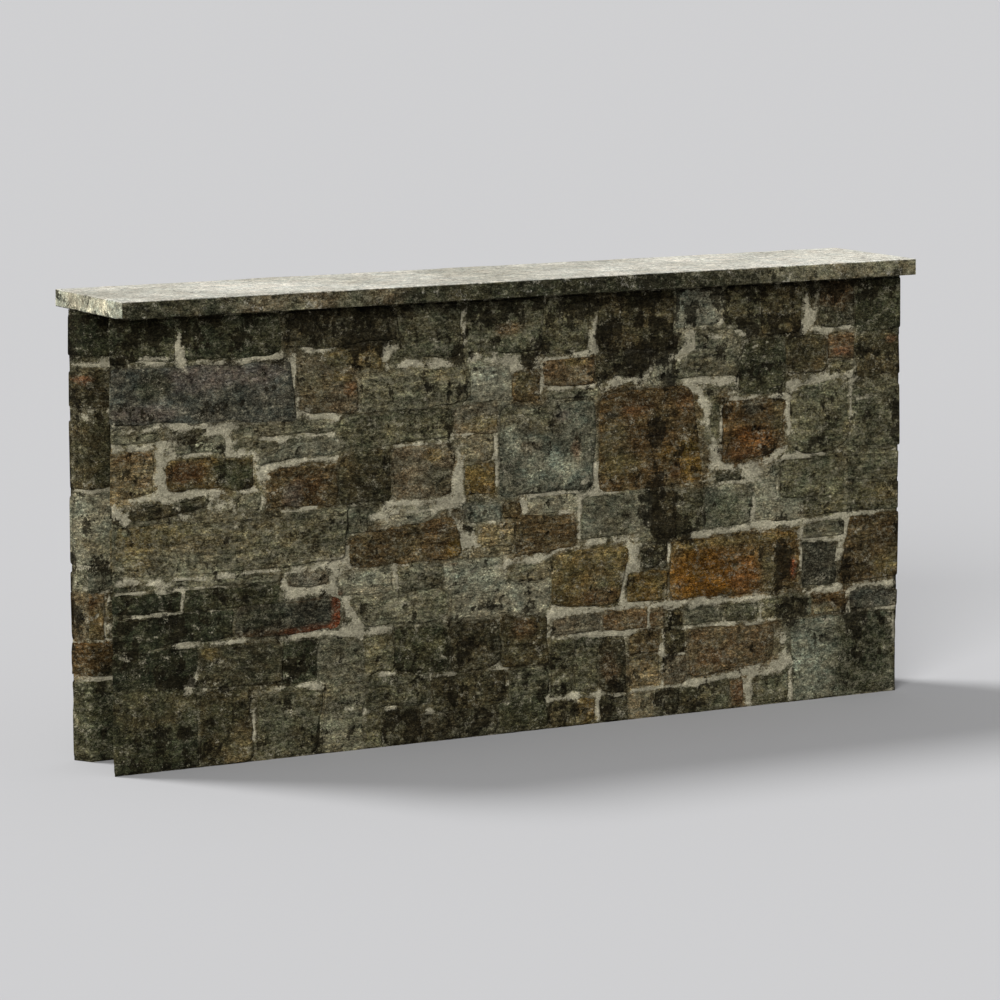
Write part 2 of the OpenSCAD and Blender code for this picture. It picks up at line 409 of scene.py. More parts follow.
# Blots of grime: middle, half sizes and strength
STAINS = [
    # Under the coping
    (20, 1390, 50, 70, 0.35), (720, 1410, 120, 40, 0.8), (860, 1380, 90, 60, 0.9),
    (960, 1390, 60, 60, 0.9), (590, 1285, 22, 14, 0.8), (440, 1268, 18, 16, 0.7),
    (540, 1262, 14, 18, 0.6), (905, 1272, 60, 26, 0.65), (540, 1205, 90, 9, 0.5),
    (1010, 1390, 30, 60, 0.7), (1090, 1425, 60, 25, 0.7), (1270, 1268, 40, 36, 1.0),
    (1350, 1410, 60, 40, 0.8), (1380, 1310, 30, 10, 0.7), (1535, 1270, 45, 45, 1.0),
    (1500, 1420, 100, 25, 0.7), (1240, 1170, 40, 25, 0.7), (1145, 1150, 25, 30, 0.5),
    (1700, 1420, 150, 25, 0.8), (1840, 1300, 60, 60, 0.7), (1900, 1260, 90, 50, 0.9),
    (1950, 1390, 60, 50, 0.8), (1830, 1200, 50, 60, 0.7), (1930, 1190, 70, 50, 0.8),
    (1700, 1100, 90, 7, 0.8), (2050, 1300, 60, 60, 0.9), (2030, 1250, 40, 40, 0.8),
    (2130, 1410, 50, 30, 0.8), (2155, 1350, 18, 40, 0.8), (2240, 1420, 70, 20, 0.6),
    (2390, 1330, 50, 25, 0.9), (2480, 1310, 90, 35, 1.0), (2560, 1290, 50, 25, 0.9),
    (2290, 1330, 80, 8, 0.7), (2190, 1270, 22, 30, 0.8), (2050, 1150, 50, 30, 0.35),
    (2450, 1180, 80, 60, 0.5), (2740, 1420, 80, 25, 0.7), (2900, 1410, 110, 40, 0.8),
    (2870, 1340, 50, 60, 0.4), (2930, 1190, 90, 20, 0.7), (520, 1420, 120, 30, 0.6),
    # Runs and damp patches lower down
    (960, 880, 50, 70, 0.15), (1030, 1045, 100, 40, 0.25), (1160, 1040, 80, 14, 0.5),
    (2010, 950, 24, 120, 0.7), (2000, 830, 40, 50, 0.5), (2850, 960, 40, 45, 0.6),
    (2480, 868, 40, 20, 0.6), (2985, 950, 14, 80, 0.6), (1990, 740, 50, 70, 0.7),
    (2050, 680, 60, 80, 1.0), (2160, 660, 36, 40, 0.9), (2140, 600, 30, 20, 0.8),
    (2525, 480, 32, 110, 1.0), (2540, 400, 60, 30, 0.6), (2560, 330, 60, 40, 0.9),
    (2080, 385, 40, 15, 0.7), (2090, 330, 30, 35, 0.7), (2090, 250, 34, 40, 0.2),
    (2060, 50, 40, 40, 0.8), (2150, 50, 40, 40, 0.4), (2780, 460, 24, 50, 0.8),
    (2020, 560, 40, 36, 0.6), (2660, 980, 110, 110, 0.28), (2720, 425, 30, 20, 0.7),
    (2830, 270, 60, 40, 0.8), (2940, 270, 50, 30, 0.7), (2900, 150, 90, 90, 0.45),
    (2990, 330, 10, 60, 0.5), (2990, 560, 12, 90, 0.5), (1130, 350, 90, 60, 0.55),
    (1100, 270, 100, 40, 0.62), (1300, 160, 130, 50, 0.6), (1290, 290, 80, 40, 0.8),
    (1330, 60, 70, 40, 0.6), (1040, 50, 70, 50, 0.7), (1640, 210, 60, 18, 0.55),
    (1620, 130, 50, 40, 0.35), (1740, 215, 35, 20, 0.6), (1870, 120, 50, 40, 0.5),
    (1500, 180, 60, 30, 0.45), (1480, 410, 60, 8, 0.7), (1360, 432, 60, 8, 0.7),
    (1650, 60, 50, 40, 0.5), (1850, 40, 50, 30, 0.6), (60, 450, 60, 60, 0.6), (170, 460, 60, 50, 0.5),
    (110, 350, 100, 40, 0.6), (230, 280, 60, 16, 0.8), (60, 545, 50, 30, 0.5), (340, 540, 60, 25, 0.6),
    (520, 545, 80, 25, 0.5), (660, 290, 60, 50, 0.5), (440, 250, 90, 10, 0.7), (110, 60, 80, 60, 0.65),
    (260, 60, 70, 70, 0.6), (400, 140, 60, 50, 0.45), (700, 30, 40, 30, 0.5), (905, 465, 25, 25, 0.6),
    (600, 250, 100, 10, 0.5),
]

# Patches of another colour on single stones: middle, half sizes, colour and strength
ACCENT_COLOURS = {
    "ember": (100, 56, 37), "russet": (86, 62, 40), "copper": (104, 70, 38), "saffron": (112, 77, 30),
    "gold": (104, 82, 40), "honey": (110, 96, 63), "salmon": (122, 88, 65), "frost": (136, 139, 125),
    "mauve": (96, 87, 82), "ink": (52, 52, 46), "fern": (54, 55, 40), "dun": (88, 80, 58),
    "sage": (96, 96, 77),
}
ACCENTS = [
    # The slate with a burnt end
    (806, 460, 20, 60, "ember", 1.0), (720, 411, 100, 12, "ember", 0.75),
    (668, 516, 55, 8, "russet", 0.8), (700, 468, 70, 34, "ink", 0.6), (520, 414, 80, 12, "russet", 0.4),
    (520, 470, 70, 30, "fern", 0.5),
    # The broad slab
    (300, 1250, 120, 36, "mauve", 0.8), (520, 1256, 80, 26, "mauve", 0.8),
    (150, 1230, 50, 40, "fern", 0.7), (330, 1160, 160, 30, "ink", 0.5),
    (120, 1150, 90, 24, "mauve", 0.7), (560, 1150, 60, 26, "ink", 0.4),
    # Stones of the left
    (700, 720, 130, 70, "fern", 0.35), (60, 700, 70, 50, "honey", 0.5),
    (980, 1180, 90, 40, "sage", 0.5), (1150, 1150, 90, 30, "fern", 0.4),
    (1200, 1210, 70, 20, "honey", 0.4), (150, 200, 120, 50, "dun", 0.5),
    (90, 1016, 50, 14, "copper", 0.5), (120, 930, 24, 24, "russet", 0.4),
    (262, 956, 66, 26, "russet", 0.9), (430, 935, 70, 45, "fern", 0.9),
    (700, 880, 60, 40, "russet", 0.4), (640, 850, 30, 40, "mauve", 0.5),
    (130, 760, 140, 40, "honey", 0.7), (560, 730, 250, 40, "dun", 0.5), (150, 55, 150, 55, "fern", 0.8),
    (445, 55, 40, 36, "dun", 0.7), (380, 160, 60, 40, "fern", 0.7), (340, 365, 28, 18, "honey", 0.7),
    # The blue block and its neighbours
    (1462, 985, 24, 40, "frost", 0.7), (1535, 868, 30, 34, "frost", 0.8),
    (1622, 905, 30, 30, "frost", 0.9), (1672, 868, 24, 34, "frost", 0.8),
    (1530, 955, 36, 18, "russet", 0.4), (1700, 935, 12, 36, "salmon", 0.4),
    (1640, 1048, 26, 16, "mauve", 0.7), (1460, 1060, 60, 26, "dun", 0.6),
    (1560, 1040, 60, 40, "dun", 0.6), (1165, 950, 36, 20, "gold", 0.6),
    (1200, 870, 40, 40, "fern", 0.4), (1310, 860, 30, 34, "gold", 0.5),
    (1340, 1040, 60, 20, "honey", 0.5), (1500, 1156, 36, 40, "dun", 0.7),
    (1700, 1226, 40, 8, "honey", 0.8),
    # The boulder and the burnt square
    (1840, 950, 40, 90, "dun", 0.6), (2660, 1050, 90, 36, "sage", 0.5),
    (2700, 930, 70, 40, "fern", 0.5), (2640, 790, 110, 40, "sage", 0.5),
    (2880, 980, 60, 60, "fern", 0.4), (2900, 700, 80, 30, "honey", 0.4),
    (1925, 1064, 56, 24, "russet", 0.9), (1830, 1040, 30, 10, "ink", 0.8),
    (1865, 866, 66, 28, "honey", 0.7), (2150, 870, 46, 66, "gold", 0.8),
    (2094, 836, 18, 26, "russet", 0.8), (2140, 1070, 44, 30, "russet", 0.6),
    (2050, 900, 24, 20, "gold", 0.5), (2395, 920, 70, 34, "copper", 0.8),
    (2380, 872, 80, 14, "russet", 0.8), (2395, 1030, 40, 22, "ink", 0.7),
    (2500, 1010, 26, 40, "dun", 0.6), (1440, 1350, 44, 18, "russet", 0.6),
    # Orange and golden stones
    (2190, 480, 100, 76, "saffron", 0.85), (2240, 424, 90, 22, "saffron", 0.8),
    (2370, 460, 50, 50, "copper", 0.8), (2470, 470, 30, 60, "dun", 0.7),
    (2568, 470, 12, 30, "ember", 0.9), (2300, 578, 220, 12, "honey", 0.6),
    (1790, 432, 70, 24, "russet", 0.7), (1720, 570, 100, 24, "honey", 0.5),
    (1980, 440, 50, 36, "gold", 0.4), (2940, 450, 50, 36, "honey", 0.5),
    (1235, 636, 26, 26, "gold", 0.8), (1160, 720, 40, 26, "russet", 0.5),
    (850, 1190, 22, 24, "russet", 0.8), (830, 1232, 40, 16, "honey", 0.8),
    (720, 1200, 50, 60, "dun", 0.5),
    # Reds and pinks
    (2762, 1206, 34, 14, "salmon", 0.9), (2750, 1240, 44, 22, "russet", 0.6),
    (2966, 1236, 20, 9, "salmon", 0.8), (2240, 190, 50, 30, "russet", 0.6),
    (2420, 220, 60, 40, "russet", 0.4), (2705, 312, 36, 9, "honey", 0.8),
    (1836, 180, 28, 40, "russet", 0.4), (2345, 60, 20, 30, "salmon", 0.4),
    (1500, 350, 40, 26, "russet", 0.5),
    # Pale and grey stones
    (2650, 160, 90, 120, "frost", 0.55), (2870, 140, 120, 130, "fern", 0.9),
    (900, 560, 70, 18, "frost", 0.6), (1262, 550, 26, 14, "frost", 0.7),
    (1230, 590, 20, 10, "salmon", 0.5), (1470, 470, 24, 30, "frost", 0.4),
    (1170, 450, 60, 36, "sage", 0.7), (2680, 480, 50, 60, "ink", 0.4), (2300, 690, 70, 50, "sage", 0.7),
    (2720, 1410, 60, 50, "russet", 0.5), (2480, 340, 30, 20, "dun", 0.5),
]

# Lime in the joints of the inner faces, near the far end of a leaf
INNER_LIME = [
    (2840, 1288, 3000, 1286, 4), (2840, 1126, 3000, 1124, 4), (2960, 1120, 2990, 1040, 5),
    (2860, 884, 3000, 882, 5), (2840, 634, 3000, 635, 7), (2924, 560, 2932, 480, 10),
    (2932, 480, 2910, 410, 11), (2840, 391, 2930, 392, 6), (2840, 270, 3000, 269, 8),
    (2880, 556, 2920, 558, 5),
]


STROKE_WARP = 5.0
THINNEST = 0.5
BASE_GRIME = 0.09
COPING_BAND_GRIME_AND_SHADE = 0.62
BAND_FOOT = MASONRY - 170
BAND_HEAD = MASONRY - 20


def lime_at(u, v, grow, strokes=LIME):
    """1 along each stroke from one point to another, fading to 0 past its half width, which is grown by so
    many millimetres. Noise bends the strokes, varies their width and breaks them here and there."""
    place = np.stack([u, v, 0 * u], 1)
    field = np.zeros(len(u))
    swing = np.clip(0.8 + 1.1 * noise(place, 50, 83, 3), 0.3, 1.6)
    u = u + STROKE_WARP * noise(place, 40, 73, 2)
    v = v + STROKE_WARP * noise(place, 40, 79, 2)
    for x0, z0, x1, z1, half in strokes:
        dx, dz = x1 - x0, z1 - z0
        along = np.clip(((u - x0) * dx + (v - z0) * dz) / (dx * dx + dz * dz), 0, 1)
        away = np.hypot(u - x0 - along * dx, v - z0 - along * dz)
        width = max(half + grow, THINNEST) * swing
        field = np.maximum(field, np.clip(1.6 - away / width, 0, 1))
    return field * smooth(noise(place, 70, 71, 3), -0.8, -0.2)


def grime_at(u, v):
    """Each blot's strength out to its half sizes, fading to 0 at about twice that, and a band of grime and
    painted shade that gains strength over the last 150 mm below the coping."""
    # The band under the coping is grime with painted shade from the coping
    field = BASE_GRIME + COPING_BAND_GRIME_AND_SHADE * smooth(v, BAND_FOOT, BAND_HEAD)
    for x, z, wide, high, strength in STAINS:
        away = np.hypot((u - x) / wide, (v - z) / high)
        field = np.maximum(field, 0.95 * strength * np.clip(1.7 - 0.9 * away, 0, 1))
    return field


print(len(LIME), "strokes of lime and", len(STAINS), "blots of grime")

# %% [markdown]
# ## Cutting the stones
# A rubble stone has a split face that bulges, edges that roll over into the joint and sides that run back
# into the wall. Its face is a grid over two shares, s across and t up, each from -1 to 1. Rings of the
# grid are pulled in at the corners so that these round off. Stones near the open ends are worked on both
# faces, because their inner faces show. The others end in a single point that the mortar hides.

# %% One stone
FACE, SIDE, INNER = 0, 1, 2
STEP = 10.0
ROLL = 10.0
HIDDEN_DEPTHS = [20.0, 40.0]
WORKED_DEPTHS = [22.0, 33.0, 44.0]
TAPER = 0.0006


def stations(length):
    """Places from -1 to 1 across a length: close together in the roll at each edge, a step apart between."""
    edge = np.array([0.0, 0.2, 0.5, 1.0]) * min(ROLL, 0.3 * length)
    steps = max(2, round((length - 2 * edge[-1]) / STEP))
    middle = np.linspace(edge[-1], length - edge[-1], steps + 1)
    return np.concatenate([edge[:-1], middle, length - edge[-2::-1]]) / length * 2 - 1


def stone_block(stone, power, worked):
    """One stone before noise: u and v of each vertex, its depth behind the face, its distance from the
    edge and its zone, then its quads and triangles. A point at s and t is pulled in until s and t, each to
    the power, add up to 1 on the rim, so a high power leaves the corners square."""
    (l0, l1), (r0, r1), (f0, f1), (h0, h1) = (pair(side) for side in stone[:4])
    wide, high = (r0 + r1 - l0 - l1) / 2, (h0 + h1 - f0 - f1) / 2
    s, t = np.meshgrid(stations(wide), stations(high))
    rows, cols = s.shape
    reach = np.maximum(np.maximum(abs(s), abs(t)), 1e-6)
    pull = ((abs(s) / reach) ** power + (abs(t) / reach) ** power) ** (-1 / power)
    a, b = (s * pull + 1) / 2, (t * pull + 1) / 2
    start, low = l0 + (l1 - l0) * b, f0 + (f1 - f0) * a
    u = (start + (r0 + (r1 - r0) * b - start) * a).ravel()
    v = (low + (h0 + (h1 - h0) * a - low) * b).ravel()
    edge = np.minimum((1 - abs(s)) * wide / 2, (1 - abs(t)) * high / 2).ravel()
    mid_u, mid_v = u.mean(), v.mean()
    rim = rim_of(rows, cols)
    ring = np.ones(len(rim))
    depths = WORKED_DEPTHS if worked else HIDDEN_DEPTHS
    loops = [(u, v, 0 * u, edge, np.full(len(u), FACE))]
    for depth in depths:
        inset = 0.0 if worked else TAPER * depth
        ring_u = u[rim] + (mid_u - u[rim]) * inset
        ring_v = v[rim] + (mid_v - v[rim]) * inset
        loops.append((ring_u, ring_v, depth * ring, 0 * ring, SIDE * ring))
    if worked:
        loops.append((u, v, np.full(len(u), LEAF), edge, np.full(len(u), INNER)))
    else:
        loops.append(tuple(np.array([x]) for x in (mid_u, mid_v, depths[-1], 0.0, SIDE)))
    quads, tris = block_faces(rows, cols, len(depths), worked)
    return [np.concatenate(x) for x in zip(*loops)], quads, tris


arrays, quads, tris = stone_block(STONES[0], 12.0, True)
print("the first stone has", len(arrays[0]), "vertices and", 2 * len(quads) + len(tris), "triangles")

# %% [markdown]
# ## Laying the stones
# All stones of a face are cut first and then roughened together, as long arrays with the number of its
# stone at each vertex. Noise that all stones share bends the joints, so neighbours still fit. Noise of
# each stone's own makes the joints wider and narrower, sets the stone proud or back and splits its face.
# The broken ends at the open ends of the bay splay back towards the core.

# %% All stones of a face before noise, and how the joints bend
AT_END = 12.0
WORKED_REACH = 260.0
SQUARE_POWER = 26.0
ROUND_POWERS = (7.0, 16.0)
BEND_ACROSS = 11.0
BEND_UP = 12.0


def cut_all(stones, rng, length, open_ends):
    """The arrays of all stones one after another, the stone that each vertex belongs to, and the faces:
    quads, triangles and the stones that these belong to."""
    parts, quads, tris, owners, count = [], [], [], [], 0
    for number, stone in enumerate(stones):
        left, right = min(pair(stone[0])), max(pair(stone[1]))
        at_end = left < AT_END or right > length - AT_END
        worked = open_ends and (left < WORKED_REACH or right > length - WORKED_REACH)
        power = SQUARE_POWER if at_end else rng.uniform(*ROUND_POWERS)
        arrays, q, t = stone_block(stone, stone[5] if len(stone) > 5 else power, worked)
        parts.append(arrays)
        quads.append(q + count)
        tris.append(t + count)
        owners.append([np.full(len(x), number) for x in (arrays[0], q, t)])
        count += len(arrays[0])
    owner, quad_owner, tri_owner = (np.concatenate(x) for x in zip(*owners))
    faces = (np.concatenate(quads), np.concatenate(tris), quad_owner, tri_owner)
    return [np.concatenate(x) for x in zip(*parts)], owner, faces


def bend_at(u, v, seed, length, height):
    """How far the joints are bent across and up, by noise that fades at the open ends, the ground and the
    coping, and both fades."""
    place = np.stack([u, v, 0 * u], 1)
    ends = np.clip(np.minimum(u, length - u) / 90, 0, 1)
    beds = np.clip(np.minimum(v, height - v) / 70, 0.05, 1)
    bend_u = BEND_ACROSS * ends * noise(place, 95, seed, 3)
    bend_v = BEND_UP * beds * noise(place, 110, seed + 3, 3)
    return bend_u, bend_v, ends, beds


_, owner, _ = cut_all(STONES, np.random.default_rng(1), LENGTH, True)
print(len(owner), "vertices on the stones of the front leaf")

# %% Relief, colour and weather of the stones
LEDGE = 44.0
OPEN_ROLL = 2.0
POINTED_ROLL = 5.0


def split_face(own, v, edge, pointed, bedding, seed):
    """The relief of a split face and the roll at its edge. The relief is noise of two sizes, plus ledges
    that zigzag with the height along the bedding. The roll is a parabola, deeper at pointed joints."""
    split = 5.0 * noise(own, 120, seed + 17, 2) + 4.0 * noise(own, 42, seed + 19, 3)
    phase = (v + 16 * noise(own, 170, seed + 23, 2)) / LEDGE
    ledge = 4.0 * bedding * (np.abs((phase % 1.0) - 0.5) * 2 - 0.5)
    width = ROLL * (1.0 + 0.7 * noise(own, 60, seed + 29, 2))
    roll = (OPEN_ROLL + POINTED_ROLL * pointed) * (1 - np.clip(edge / width, 0, 1)) ** 2
    return (split + ledge) * smooth(edge, -4, 14), roll


def stone_colours(kind, owner, own, u, v, rng, seed, accents):
    """The kind's main colour with its second colour in patches of noise, times a tone and a warmth of each
    stone's own. Each accent is blended in out to its half sizes, with an edge that noise frays."""
    patch = smooth(noise(own, 85, seed + 41, 3), -0.15, 0.45)[:, None]
    tone = np.exp(rng.normal(0, 0.05, len(kind)))[owner][:, None]
    warm = rng.normal(0, 0.02, len(kind))[owner][:, None] * np.array([1.0, 0.0, -1.4])
    colour = (kind_main[kind][owner] * (1 - patch) + kind_patch[kind][owner] * patch) * tone * (1 + warm)
    fray = 0.5 * noise(own, 30, 97, 3)
    for x, z, wide, high, accent, strength in accents:
        away = np.hypot((u - x) / wide, (v - z) / high)
        share = strength * smooth(1.7 - away + fray, 0, 1)[:, None]
        colour = colour + (linear(ACCENT_COLOURS[accent]) - colour) * share
    return colour


def stone_grime(own, u, v, edge, zone, seed):
    """Grime of the face, with painted shade at some of its edges. Sides and inner faces get a little grime,
    and towards the coping grime with painted shade of the coping."""
    # Painted shade along the edges of some stones
    painted_edge_shade = 0.4 * smooth(8 - edge, 0, 8) * smooth(noise(own, 130, seed + 61, 2), -0.1, 0.4)
    # Sides and inner faces: a little grime, and grime with painted shade under the coping
    damp = 0.14 + 0.6 * smooth(v, MASONRY - 200, MASONRY - 40)
    return np.where(zone == FACE, grime_at(u, v) + painted_edge_shade, damp)


print(len(ACCENTS), "accents in", len(ACCENT_COLOURS), "colours")

# %% A whole face of stones
APART = 700.0
MOST_LEAN = 7.0
WANDER = 7.0
SPLAY = 34.0
SPLAY_REACH = 200.0
GROUND_GAP = 0.5
COPING_GAP = 6.0
FACE_LIMITS = (-14.0, 9.0)
INNER_LIMITS = (-LEAF - 4.0, -46.0)
POINTED_GROW = 12.0
STONE_GROW = -3.0
INNER_GROW = -2.0
LIME_ON_STONE = 0.75


def lay(stones, seed, length=LENGTH, height=MASONRY, weathered=True, open_ends=True):
    """All stones of a face in its own plane: points across, up and out, colours, weather, faces, and the
    number of the stone that each vertex belongs to."""
    rng = np.random.default_rng(seed)
    (u, v, depth, edge, zone), owner, faces = cut_all(stones, rng, length, open_ends)
    own = np.stack([u, v, APART * owner], 1)
    deep = np.stack([u, v, APART * owner + depth], 1)
    kind = np.array([KIND_NAMES.index(s[4]) for s in stones])
    bedding = kind_bedding[kind][owner]

    # Lime follows the joints as they are before they bend
    pointed = lime_at(u, v, POINTED_GROW) if weathered else 1.0
    lime = lime_at(u, v, STONE_GROW) if weathered else 0.0
    inner_lime = lime_at(u, v, INNER_GROW, INNER_LIME) if weathered else 0.0

    # Bend the joints, lean each stone's sides and let its outline wander
    bend_u, bend_v, ends, beds = bend_at(u, v, seed, length, height)
    lean = rng.normal(0, 0.03, (len(stones), 2))[owner]
    sides = np.array([[np.mean(pair(side)) for side in s[:4]] for s in stones])
    middle_u, middle_v = sides[:, :2].mean(1)[owner], sides[:, 2:].mean(1)[owner]
    lean_u = np.clip(lean[:, 0] * (v - middle_v), -MOST_LEAN, MOST_LEAN)
    lean_v = np.clip(lean[:, 1] * (u - middle_u), -MOST_LEAN, MOST_LEAN)
    u = u + bend_u + ends * (lean_u + WANDER * noise(own, 48, seed + 7, 3))
    v = v + bend_v + beds * (lean_v + WANDER * noise(own, 48, seed + 11, 3))
    v = np.clip(v, GROUND_GAP, height - COPING_GAP)

    # Set each stone proud or back, tilt it and split its face
    proud = rng.normal(0.5, 2.0, len(stones))[owner]
    tilt_u = rng.normal(0, 0.014, len(stones))[owner]
    tilt_v = rng.normal(0, 0.03, len(stones))[owner]
    swell = proud + tilt_u * (u - middle_u) + tilt_v * (v - middle_v)
    relief, roll = split_face(own, v, edge, pointed, bedding, seed)
    face = np.clip(swell + kind_rough[kind][owner] * relief - roll, *FACE_LIMITS)
    inner = np.clip(-depth - 0.5 * relief + roll, *INNER_LIMITS)
    side = -depth + 1.5 * noise(deep, 30, seed + 31, 2)
    w = np.where(zone == FACE, face, np.where(zone == INNER, inner, side))

    # Rub the sides at the open ends and splay them back
    if open_ends:
        rub = 2.5 * np.abs(noise(deep, 26, seed + 37, 2))
        inwards = np.where(u < length / 2, 1, -1)
        u = np.where((ends < 0.05) & (zone == SIDE), u + inwards * rub, u)
        splay = rng.uniform(0.9, 1.0, len(stones))[owner] * SPLAY * np.clip(depth / LEAF, 0, 1)
        at_left, at_right = (np.clip(1 - x / SPLAY_REACH, 0, 1) for x in (u, length - u))
        u = u + splay * (at_left - at_right)

    # Colours, then grime with painted shade, lime, flecks and full mottling
    colour = stone_colours(kind, owner, own, u, v, rng, seed, ACCENTS if weathered else [])
    weather = np.zeros((len(u), 4))
    weather[:, 2] = kind_fleck[kind][owner]
    weather[:, 3] = 1.0
    if weathered:
        weather[:, 0] = stone_grime(own, u, v, edge, zone, seed)
        on_stone = np.where(zone == FACE, lime, np.where(zone == INNER, inner_lime, 0.0))
        weather[:, 1] = LIME_ON_STONE * on_stone
    return np.stack([u, v, w], 1), np.column_stack([colour, bedding]), weather, faces, owner


print(f"ends splay by up to {SPLAY:.0f} mm over the leaf's {LEAF:.0f} mm")

# %% [markdown]
# ## Weathered stone
# One material serves stone, mortar and coping. It starts from the colour at the vertices and multiplies it
# with broad mottling, fine grit, dark pits, streaks along the bedding and a drift between cool and warm.
# Lime, lichen flecks, and grime with painted shade, are laid over that in turn, where their fields, frayed
# by noise, pass a threshold. The mottling and the streaks also lift the surface as bump, with grain too fine
# to be geometry.

# %% Short names for shader nodes
class Nodes:
    """Makes the nodes of one material. Each method adds a node and returns what comes out of it."""

    def __init__(self, material):
        material.use_nodes = True
        self.tree = material.node_tree
        self.shader = self.tree.nodes["Principled BSDF"]

    def feed(self, socket, value):
        """Links a socket to another node's output, or gives it a plain value."""
        if isinstance(value, bpy.types.NodeSocket):
            self.tree.links.new(value, socket)
        else:
            socket.default_value = value

    def attribute(self, key):
        """The colour and the alpha that the vertices carry under that name."""
        node = self.tree.nodes.new("ShaderNodeAttribute")
        node.attribute_name = key
        return node.outputs["Color"], node.outputs["Alpha"]

    def channels(self, colour):
        """Red, green and blue of a colour."""
        node = self.tree.nodes.new("ShaderNodeSeparateColor")
        self.feed(node.inputs[0], colour)
        return node.outputs[:3]

    def grains(self, scale, detail, rough, stretch=(1, 1, 1), shift=0.0):
        """Noise from 0 to 1 on Object coordinates, stretched and moved so that no two patterns agree."""
        where = self.tree.nodes.new("ShaderNodeTexCoord").outputs["Object"]
        mapping = self.tree.nodes.new("ShaderNodeMapping")
        mapping.inputs["Scale"].default_value = stretch
        mapping.inputs["Location"].default_value = (shift, shift, shift)
        self.feed(mapping.inputs["Vector"], where)
        node = self.tree.nodes.new("ShaderNodeTexNoise")
        node.inputs["Scale"].default_value = scale
        node.inputs["Detail"].default_value = detail
        node.inputs["Roughness"].default_value = rough
        self.feed(node.inputs["Vector"], mapping.outputs[0])
        return node.outputs[0]

    def sums(self, operation, *values):
        """One step of arithmetic on numbers."""
        node = self.tree.nodes.new("ShaderNodeMath")
        node.operation = operation
        for socket, value in zip(node.inputs, values):
            self.feed(socket, value)
        return node.outputs[0]

    def around(self, pattern, reach):
        """The pattern centred on 0, so many times as strong."""
        return self.sums("MULTIPLY_ADD", pattern, reach, -0.5 * reach)

    def ramp(self, value, low, high, to_low, to_high, kind="SMOOTHSTEP"):
        """A soft switch between two levels as the value goes from low to high."""
        node = self.tree.nodes.new("ShaderNodeMapRange")
        node.interpolation_type = kind
        for socket, number in zip(node.inputs, (value, low, high, to_low, to_high)):
            self.feed(socket, number)
        return node.outputs[0]

    def mix(self, share, a, b):
        """Colour a, with a share of colour b."""
        node = self.tree.nodes.new("ShaderNodeMix")
        node.data_type = "RGBA"
        for number, value in ((0, share), (6, a), (7, b)):
            self.feed(node.inputs[number], value)
        return node.outputs[2]

    def times(self, colour, factor):
        """A colour made lighter or darker by a number."""
        node = self.tree.nodes.new("ShaderNodeVectorMath")
        node.operation = "SCALE"
        self.feed(node.inputs[0], colour)
        self.feed(node.inputs["Scale"], factor)
        return node.outputs[0]

    def product(self, a, b):
        """Two colours multiplied."""
        node = self.tree.nodes.new("ShaderNodeVectorMath")
        node.operation = "MULTIPLY"
        self.feed(node.inputs[0], a)
        self.feed(node.inputs[1], b)
        return node.outputs[0]


print(sum(callable(x) for x in vars(Nodes).values()), "methods for shader nodes")

# %% Material of stone, mortar and coping
WHITE = (1.0, 1.0, 1.0, 1.0)
COOL = (0.9, 1.0, 0.93, 1.0)
WARM = (1.1, 1.0, 0.82, 1.0)
LICHEN = tuple(linear((142, 137, 114)))
LICHEN_SHARE = 0.6
DARKEST = 0.1


